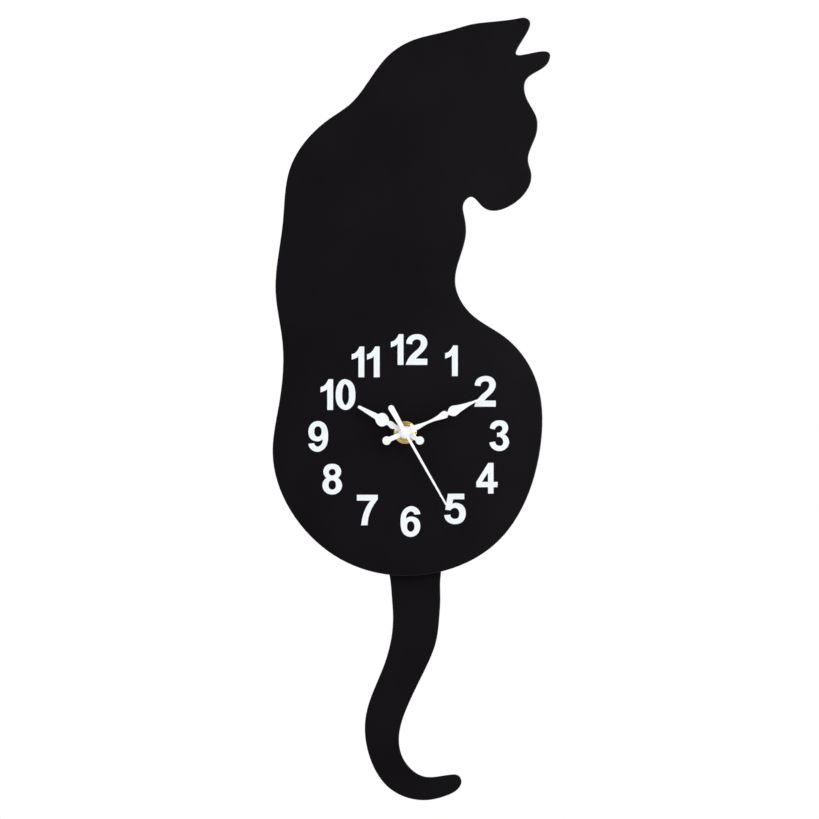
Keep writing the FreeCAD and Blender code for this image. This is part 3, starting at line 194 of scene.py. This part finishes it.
def black_acrylic():
    """Satin sheet with a faint haze on its faces; its edges get a paler colour, a painted highlight
    for the light that the rounded edges catch.
    """
    finish = Finish("black_acrylic")
    facing = finish.math("ABSOLUTE", finish.part(finish.normal, "Y"))
    edge = finish.span(facing, 1.0, 0.0, 0.55, 0.98)
    haze = finish.span(finish.noise(45 * MM, 4.0), 0.0, 1.0, 0.3, 0.7)
    grain = finish.noise(0.35 * MM, 2.0)
    face_colour = finish.blend(haze, (0.0022, 0.0013, 0.0022), (0.0032, 0.0023, 0.0034))
    # The paler edge colour is a painted highlight, standing in for the light caught by the rounded
    # edges.
    finish.set("Base Color", finish.blend(edge, face_colour, (0.021, 0.0195, 0.022)))
    satin = finish.span(haze, 0.44, 0.5)
    finish.set("Roughness", finish.math("ADD", satin, finish.span(grain, -0.03, 0.03)))
    finish.set("Specular IOR Level", finish.span(edge, 0.07, 0.05))
    finish.bump(grain, 0.004 * MM, 0.5)
    return finish.material


def white_figure():
    """Smooth white vinyl with a slightly cool tone."""
    finish = Finish("white_figure")
    finish.soft_edges(0.12 * MM)
    cloud = finish.noise(3 * MM, 3.0)
    finish.set("Base Color", finish.blend(cloud, (0.825, 0.87, 0.88), (0.865, 0.905, 0.915)))
    finish.set("Roughness", finish.span(cloud, 0.36, 0.5))
    finish.bump(finish.noise(0.5 * MM, 2.0), 0.004 * MM, 0.4)
    return finish.material


def white_hand():
    """White enamel on thin stamped metal."""
    finish = Finish("white_hand")
    finish.soft_edges(0.14 * MM)
    cloud = finish.noise(2 * MM, 3.0)
    finish.set("Base Color", finish.blend(cloud, (0.92, 0.94, 0.945), (0.95, 0.96, 0.96)))
    finish.set("Roughness", finish.span(cloud, 0.24, 0.36))
    finish.bump(finish.noise(0.8 * MM, 2.0), 0.006 * MM, 0.4)
    return finish.material


def brass():
    """Bright turned brass with fine tool rings round the hands' axis; dark rings painted into the
    colour in patches are a painted reflection of the dim room.
    """
    finish = Finish("brass", 1.0)
    finish.soft_edges(0.15 * MM)
    low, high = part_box("brass_washer")
    rings = finish.rings(0.5 * MM, ((low.x + high.x) / 2, (low.z + high.z) / 2))
    cloud = finish.noise(3 * MM, 2.0)
    # Painted reflection: some rings are painted dark in cloudy patches, standing in for the dim
    # room that the turned brass reflects.
    painted_dark_ring = finish.span(rings, 0.0, 1.0, 0.48, 0.56)
    painted_dark_reflection = finish.math("MULTIPLY", painted_dark_ring, finish.span(cloud, 0.4, 1.0, 0.35, 0.6))
    finish.set("Base Color", finish.blend(painted_dark_reflection, (1.0, 0.75, 0.27), (0.2, 0.11, 0.02)))
    finish.set("Roughness", finish.span(cloud, 0.16, 0.3))
    finish.bump(rings, 0.09 * MM, 0.8)
    return finish.material


def black_rubber():
    finish = Finish("black_rubber")
    grain = finish.noise(0.2 * MM, 3.0)
    finish.set("Base Color", finish.blend(grain, (0.014, 0.014, 0.014), (0.03, 0.03, 0.03)))
    finish.set("Roughness", finish.span(grain, 0.68, 0.9))
    finish.bump(grain, 0.02 * MM, 0.6)
    return finish.material


def black_abs():
    """Moulded plastic with a fine spark-eroded texture."""
    finish = Finish("black_abs")
    finish.soft_edges(0.2 * MM)
    grain = finish.noise(0.28 * MM, 3.0)
    cloud = finish.noise(18 * MM, 2.0)
    finish.set("Base Color", finish.blend(cloud, (0.012, 0.012, 0.014), (0.019, 0.019, 0.021)))
    dull = finish.span(cloud, 0.46, 0.56)
    finish.set("Roughness", finish.math("ADD", dull, finish.span(grain, -0.08, 0.08)))
    finish.bump(grain, 0.02 * MM, 0.5)
    return finish.material


def metal(name, light, dark, roughness, size=0.6 * MM, stretch=(1, 1, 8), depth=0.006 * MM):
    """Rolled or drawn metal with streaks along one direction."""
    finish = Finish(name, 1.0)
    finish.soft_edges(0.12 * MM)
    streak = finish.noise(size, 4.0, stretch)
    finish.set("Base Color", finish.blend(streak, light, dark))
    finish.set("Roughness", finish.span(streak, roughness * 0.75, roughness * 1.3))
    finish.bump(streak, depth, 0.5)
    return finish.material


def battery_jacket():
    """Plain two-colour jacket: dark blue with a copper shoulder at the capped end."""
    finish = Finish("battery_jacket")
    along = finish.part(finish.place, "X")
    low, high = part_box("battery_can")
    shoulder = high.x - 13 * MM
    copper = finish.span(along, 0.0, 1.0, shoulder, shoulder + 0.15 * MM)
    cloud = finish.noise(4 * MM, 3.0)
    blue = finish.blend(cloud, (0.022, 0.05, 0.14), (0.035, 0.07, 0.18))
    warm = finish.blend(cloud, (0.62, 0.32, 0.14), (0.74, 0.42, 0.2))
    finish.set("Metallic", finish.span(copper, 0.35, 0.85))
    finish.set("Base Color", finish.blend(copper, blue, warm))
    finish.set("Roughness", finish.span(cloud, 0.22, 0.36))
    finish.bump(finish.noise(1.5 * MM, 3.0), 0.01 * MM, 0.4)
    return finish.material


def board_laminate():
    """Green solder mask over darker and lighter copper tracks."""
    finish = Finish("board_laminate")
    tracks = finish.span(finish.bands(2.2 * MM, "DIAGONAL", 4.0), 0.0, 1.0, 0.45, 0.55)
    finish.set("Base Color", finish.blend(tracks, (0.018, 0.09, 0.035), (0.04, 0.17, 0.065)))
    finish.set("Roughness", finish.span(finish.noise(0.6 * MM), 0.28, 0.42))
    finish.bump(tracks, 0.03 * MM, 0.6)
    return finish.material


def plastic(name, light, dark, roughness, grain_size=0.3 * MM, depth=0.01 * MM, see_in=0.0):
    """Plain moulded plastic with a little grain."""
    finish = Finish(name)
    finish.soft_edges(0.1 * MM)
    grain = finish.noise(grain_size, 3.0)
    finish.set("Base Color", finish.blend(grain, light, dark))
    finish.set("Roughness", finish.span(grain, roughness * 0.85, roughness * 1.15))
    finish.set("Subsurface Weight", see_in)
    finish.set("Subsurface Scale", 0.5 * MM)
    finish.bump(grain, depth, 0.5)
    return finish.material


def copper_wire():
    """Enamelled wire in close turns, its colour darkened in the grooves between turns as painted
    shade.
    """
    finish = Finish("copper_wire", 0.9)
    turns = finish.bands(0.16 * MM, "X", 0.4)
    # Painted shade: the colour is darkest where the bump dips, in the grooves between turns.
    finish.set("Base Color", finish.blend(turns, (0.3, 0.09, 0.03), (0.72, 0.3, 0.12)))
    finish.set("Roughness", finish.span(finish.noise(0.5 * MM), 0.2, 0.35))
    finish.bump(turns, 0.06 * MM, 0.9)
    return finish.material


def make_materials():
    """The record's material slots, each with its finish."""
    even = (1, 1, 1)
    return {
        "black_acrylic": black_acrylic(),
        "white_figure": white_figure(),
        "white_hand": white_hand(),
        "brass": brass(),
        "black_rubber": black_rubber(),
        "black_abs": black_abs(),
        "zinc_steel": metal(
            "zinc_steel", (0.66, 0.68, 0.7), (0.42, 0.44, 0.45), 0.3, 2.5 * MM, even
        ),
        "plain_steel": metal("plain_steel", (0.62, 0.62, 0.62), (0.45, 0.45, 0.46), 0.25),
        "battery_jacket": battery_jacket(),
        "nickel_strip": metal("nickel_strip", (0.75, 0.73, 0.69), (0.58, 0.56, 0.52), 0.2),
        "board_laminate": board_laminate(),
        "black_epoxy": plastic(
            "black_epoxy", (0.012, 0.012, 0.012), (0.02, 0.02, 0.02), 0.2, 1.5 * MM, 0.08 * MM
        ),
        "crystal_can": metal(
            "crystal_can", (0.72, 0.73, 0.75), (0.55, 0.56, 0.57), 0.22, 0.4 * MM, (8, 1, 1)
        ),
        "soft_iron": metal(
            "soft_iron", (0.5, 0.49, 0.48), (0.36, 0.35, 0.34), 0.4, 0.4 * MM, even
        ),
        "white_nylon": plastic(
            "white_nylon", (0.78, 0.77, 0.72), (0.7, 0.69, 0.64), 0.45, see_in=0.15
        ),
        "copper_wire": copper_wire(),
        "magnet": metal("magnet", (0.2, 0.2, 0.21), (0.12, 0.12, 0.13), 0.45, 0.3 * MM, even),
        "white_acetal": plastic(
            "white_acetal", (0.84, 0.83, 0.79), (0.76, 0.75, 0.71), 0.38, see_in=0.1
        ),
        "black_acetal": plastic("black_acetal", (0.02, 0.02, 0.021), (0.03, 0.03, 0.031), 0.4),
        "spring_bronze": metal("spring_bronze", (0.72, 0.45, 0.2), (0.52, 0.3, 0.12), 0.28),
    }


def dress_nodes():
    """Gives every CAD node the finish of the slot that the record names for it."""
    for part in frame["record"]["subparts"]:
        node = nodes[part["node"]]
        node.data.materials.clear()
        node.data.materials.append(finishes[part["material_slot"]])


# ---------------------------------------------------------------- detail pieces

WIRE = 0.24 * MM  # pitch of the turns in a coil
WIRE_STEPS = 6  # rings of points along one turn of wire
CORNER_STEPS = 6  # steps along a rounded corner
SHARP_ANGLE = math.radians(35)
CHIP_SIZE = (1.2 * MM, 0.6 * MM, 0.8 * MM)
CHIP_END_SIZE = (0.4 * MM, 0.5 * MM, 0.86 * MM)


def add_piece(name, form, slot, body, stands_for=()):
    """Makes a piece with a slot's finish; it rides on a body and may stand for CAD nodes."""
    bmesh.ops.recalc_face_normals(form, faces=form.faces)
    mesh = bpy.data.meshes.new(name)
    form.to_mesh(mesh)
    form.free()
    mesh.shade_smooth()
    mesh.set_sharp_from_angle(angle=SHARP_ANGLE)
    mesh.materials.append(finishes[slot])
    piece = bpy.data.objects.new(name, mesh)
    bpy.context.scene.collection.objects.link(piece)
    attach(piece, body)
    if stands_for:
        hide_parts(*stands_for)


def add_loops(form, loops):
    """Joins closed loops of equally many points into one capped solid."""
    rings = [[form.verts.new(point) for point in loop] for loop in loops]
    count = len(rings[0])
    for near, far in zip(rings, rings[1:]):
        for step in range(count):
            after = (step + 1) % count
            form.faces.new((near[step], near[after], far[after], far[step]))
    form.faces.new(rings[0])
    form.faces.new(rings[-1])


def add_lathe(form, profile, place, axis, steps=72):
    """Adds the solid that a profile of (along, radius) sweeps round an axis through place."""
    loops = []
    for along, radius in profile:
        loop = []
        for step in range(steps):
            turn = 2 * math.pi * step / steps
            across = radius * math.cos(turn)
            up = radius * math.sin(turn)
            offset = (along, across, up) if axis == "X" else (across, along, up)
            loop.append(Vector(place) + Vector(offset))
        loops.append(loop)
    add_loops(form, loops)


def wound(length):
    """Places along a coil and how far the wires bulge out there."""
    steps = WIRE_STEPS * round(length / WIRE)
    return [
        (length * step / steps, WIRE / 2 * abs(math.sin(math.pi * step / WIRE_STEPS)))
        for step in range(steps + 1)
    ]


def add_cell():
    """The AA cell: a jacket with rolled lips, a flat steel base and a stepped positive terminal."""
    low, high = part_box("battery_can")
    length = high.x - low.x
    radius = (high.z - low.z) / 2
    place = (low.x, (low.y + high.y) / 2, (low.z + high.z) / 2)
    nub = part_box("battery_positive_cap")[1].x - high.x
    crimp = radius - 0.28 * MM
    jacket = [
        (0.35 * MM, 5.0 * MM),
        (0.05 * MM, 5.3 * MM),
        (0, 5.7 * MM),
        (0, 6.3 * MM),
        (0.12 * MM, 6.8 * MM),
        (0.4 * MM, radius - 0.12 * MM),
        (0.8 * MM, radius),
        (length - 2.5 * MM, radius),
        (length - 2.2 * MM, crimp),
        (length - 1.7 * MM, crimp),
        (length - 1.4 * MM, radius - 0.03 * MM),
        (length - 0.6 * MM, radius - 0.03 * MM),
        (length - 0.15 * MM, radius - 0.4 * MM),
        (length, radius - 1.0 * MM),
        (length, radius - 1.8 * MM),
        (length - 0.3 * MM, radius - 2.0 * MM),
    ]
    form = bmesh.new()
    add_lathe(form, jacket, place, "X")
    add_piece("cell_jacket", form, "battery_jacket", "battery", ["battery_can"])
    form = bmesh.new()
    base = [(0.4 * MM, 4.9 * MM), (0.12 * MM, 4.9 * MM), (0.06 * MM, 4.7 * MM)]
    add_lathe(form, base, place, "X")
    top = [
        (-0.35 * MM, 4.4 * MM),
        (-0.08 * MM, 4.4 * MM),
        (0, 4.2 * MM),
        (0, 3.2 * MM),
        (0.1 * MM, 2.9 * MM),
        (nub - 0.25 * MM, 2.75 * MM),
        (nub - 0.06 * MM, 2.6 * MM),
        (nub, 2.3 * MM),
    ]
    add_lathe(form, [(length + along, reach) for along, reach in top], place, "X")
    add_piece("cell_terminals", form, "plain_steel", "battery", ["battery_positive_cap"])


def rounded_section(half_y, half_z, corner):
    """Points round a rectangle with rounded corners, each with its outward direction."""
    section = []
    for quarter, (side_y, side_z) in enumerate(((1, 1), (-1, 1), (-1, -1), (1, -1))):
        middle = Vector((0, side_y * (half_y - corner), side_z * (half_z - corner)))
        for step in range(CORNER_STEPS + 1):
            turn = math.pi / 2 * (quarter + step / CORNER_STEPS)
            outward = Vector((0, math.cos(turn), math.sin(turn)))
            section.append((middle + corner * outward, outward))
    return section


def add_motor_winding():
    """The motor coil as close turns of wire round its flat core."""
    low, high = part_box("coil_winding")
    half = (high - low) / 2
    section = rounded_section(half.y - WIRE / 2, half.z - WIRE / 2, 0.4 * MM)
    start = Vector((low.x, low.y + half.y, low.z + half.z))
    form = bmesh.new()
    add_loops(form, [
        [start + Vector((along, 0, 0)) + point + bulge * outward for point, outward in section]
        for along, bulge in wound(high.x - low.x)
    ])
    add_piece("motor_coil_turns", form, "copper_wire", "movement", ["coil_winding"])


def add_drive_winding():
    """The flat drive coil of the pendulum as close turns of wire."""
    low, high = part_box("pendulum_coil_winding")
    radius = (high.x - low.x) / 2 - WIRE / 2
    form = bmesh.new()
    profile = [(along, radius + bulge) for along, bulge in wound(high.y - low.y)]
    add_lathe(form, profile, ((low.x + high.x) / 2, low.y, (low.z + high.z) / 2), "Y")
    add_piece("drive_coil_turns", form, "copper_wire", "movement", ["pendulum_coil_winding"])


def add_chip(form, middle, size, chamfer):
    """Adds a small block with chamfered edges."""
    block = bmesh.ops.create_cube(form, size=1.0)["verts"]
    for vert in block:
        vert.co = Vector(middle) + Vector([part * whole for part, whole in zip(vert.co, size)])
    edges = {edge for vert in block for edge in vert.link_edges}
    bmesh.ops.bevel(form, geom=list(edges), offset=chamfer, segments=2, profile=0.5, affect="EDGES")


def add_board_parts():
    """Small chips, their soldered ends and the soldered contacts on both boards."""
    chips = bmesh.new()
    solder = bmesh.new()
    main_places = ((5.6, 14.0), (5.6, 17.5), (5.6, 6.2), (12.0, 1.2), (20.0, 1.2), (34.0, 1.2))
    drive_places = ((3.2, 3.0), (7.6, 2.2), (13.0, 6.0), (13.0, 9.5))
    for node, places in (("circuit_board", main_places), ("pendulum_board", drive_places)):
        low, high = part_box(node)
        rear = high.y + 0.3 * MM
        for across, up in places:
            middle = Vector((low.x + across * MM, rear, low.z + up * MM))
            add_chip(chips, middle, CHIP_SIZE, 0.06 * MM)
            for side in (-0.75 * MM, 0.75 * MM):
                end = middle + Vector((side, -0.04 * MM, 0))
                add_chip(solder, end, CHIP_END_SIZE, 0.12 * MM)
    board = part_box("circuit_board")[1].y
    for node in ("negative_contact", "positive_contact"):
        low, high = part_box(node)
        dome = [
            (0, 0.9 * MM),
            (0.2 * MM, 0.75 * MM),
            (0.4 * MM, 0.45 * MM),
            (0.46 * MM, 0.1 * MM),
        ]
        inward = 0.6 * MM if node == "negative_contact" else -0.6 * MM
        place = ((low.x + high.x) / 2 + inward, board, high.z - 1.0 * MM)
        add_lathe(solder, dome, place, "Y", 24)
    add_piece("board_chips", chips, "black_epoxy", "movement")
    add_piece("board_solder", solder, "nickel_strip", "movement")


# ---------------------------------------------------------------- studio

IMAGE_WIDTH = 0.45045  # width of the view at the face of the cat
VIEW_CENTRE = Vector((0.0024, 0.0, -0.0214))
CAMERA_DISTANCE = 8.0
SENSOR_WIDTH = 36.0
FLOOR_DROP = 0.55
FLOOR_RADIUS = 8.0
ROOM_LIGHT = 0.64
ROOM_IN_REFLECTIONS = 0.35


def add_camera():
    """Straight-on camera with a long lens."""
    data = bpy.data.cameras.new("camera")
    data.sensor_width = SENSOR_WIDTH
    data.lens = SENSOR_WIDTH * CAMERA_DISTANCE / IMAGE_WIDTH
    data.clip_end = 60.0
    camera = bpy.data.objects.new("camera", data)
    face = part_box("cat_panel")[0].y
    camera.location = (VIEW_CENTRE.x, face - CAMERA_DISTANCE, VIEW_CENTRE.z)
    camera.rotation_euler = (math.pi / 2, 0, 0)
    bpy.context.scene.collection.objects.link(camera)
    bpy.context.scene.camera = camera


def add_light(name, place, size, power, target=(0, 0, -0.05), sheen_only=False):
    """Soft rectangular light that faces the clock; one for sheen shows in reflections alone."""
    data = bpy.data.lights.new(name, "AREA")
    data.shape = "RECTANGLE"
    data.size, data.size_y = size
    data.energy = power
    light = bpy.data.objects.new(name, data)
    light.location = place
    light.rotation_euler = (Vector(target) - Vector(place)).to_track_quat("-Z", "Y").to_euler()
    light.visible_camera = False
    light.visible_diffuse = not sheen_only
    bpy.context.scene.collection.objects.link(light)


def add_world():
    """White room, bright all round but dim in reflections, so that black stays black."""
    world = bpy.data.worlds.new("studio")
    world.use_nodes = True
    tree = world.node_tree
    path = tree.nodes.new("ShaderNodeLightPath")
    strengths = (("Is Camera Ray", 1.0), ("Is Glossy Ray", ROOM_IN_REFLECTIONS))
    shader = tree.nodes["Background"]
    shader.inputs["Color"].default_value = (0.98, 0.99, 1.0, 1)
    shader.inputs["Strength"].default_value = ROOM_LIGHT
    for ray, strength in reversed(strengths):
        seen = tree.nodes.new("ShaderNodeBackground")
        seen.inputs["Color"].default_value = (1, 1, 1, 1)
        seen.inputs["Strength"].default_value = strength
        mix = tree.nodes.new("ShaderNodeMixShader")
        tree.links.new(path.outputs[ray], mix.inputs["Fac"])
        tree.links.new(shader.outputs[0], mix.inputs[1])
        tree.links.new(seen.outputs[0], mix.inputs[2])
        shader = mix
    tree.links.new(shader.outputs[0], tree.nodes["World Output"].inputs["Surface"])
    bpy.context.scene.world = world


def add_floor():
    """Round pale floor well below the hanging clock, which fades into the white room."""
    mesh = bpy.data.meshes.new("floor")
    form = bmesh.new()
    bmesh.ops.create_circle(form, cap_ends=True, radius=FLOOR_RADIUS, segments=96)
    form.to_mesh(mesh)
    form.free()
    floor = bpy.data.objects.new("floor", mesh)
    floor.location = (0, 0, cad_box[0].z - FLOOR_DROP)
    finish = Finish("floor_paint")
    cloud = finish.noise(0.4, 4.0)
    finish.set("Base Color", finish.blend(cloud, (0.89, 0.89, 0.89), (0.92, 0.92, 0.92)))
    finish.set("Roughness", 0.7)
    across = finish.part(finish.place, "X")
    away = finish.part(finish.place, "Y")
    across_squared = finish.math("MULTIPLY", across, across)
    away_squared = finish.math("MULTIPLY", away, away)
    reach = finish.math("SQRT", finish.math("ADD", across_squared, away_squared))
    glow = finish.span(reach, 0.0, 1.0, 0.25 * FLOOR_RADIUS, 0.9 * FLOOR_RADIUS)
    tree = finish.tree
    white = tree.nodes.new("ShaderNodeEmission")
    mix = tree.nodes.new("ShaderNodeMixShader")
    tree.links.new(glow, mix.inputs["Fac"])
    tree.links.new(finish.shader.outputs["BSDF"], mix.inputs[1])
    tree.links.new(white.outputs["Emission"], mix.inputs[2])
    tree.links.new(mix.outputs["Shader"], tree.nodes["Material Output"].inputs["Surface"])
    mesh.materials.append(finish.material)
    bpy.context.scene.collection.objects.link(floor)


def add_studio():
    scene = bpy.context.scene
    scene.view_settings.view_transform = "Standard"
    scene.view_settings.look = "None"
    add_camera()
    add_world()
    add_floor()
    add_light("key", (0.75, -1.5, 0.75), (0.8, 0.8), 10.5)
    add_light("fill", (-1.8, -1.6, 0.4), (1.4, 1.8), 10)
    add_light("rim_back", (0.6, 2.2, 1.4), (1.6, 1.2), 30)
    add_light("sheen", (0.36, -0.22, 0.06), (0.08, 0.45), 4, (0, 0, 0.04), sheen_only=True)
    add_light("low", (0.2, -1.4, -1.6), (1.2, 0.8), 8)


finishes = make_materials()
dress_nodes()
add_cell()
add_motor_winding()
add_drive_winding()
add_board_parts()
add_studio()
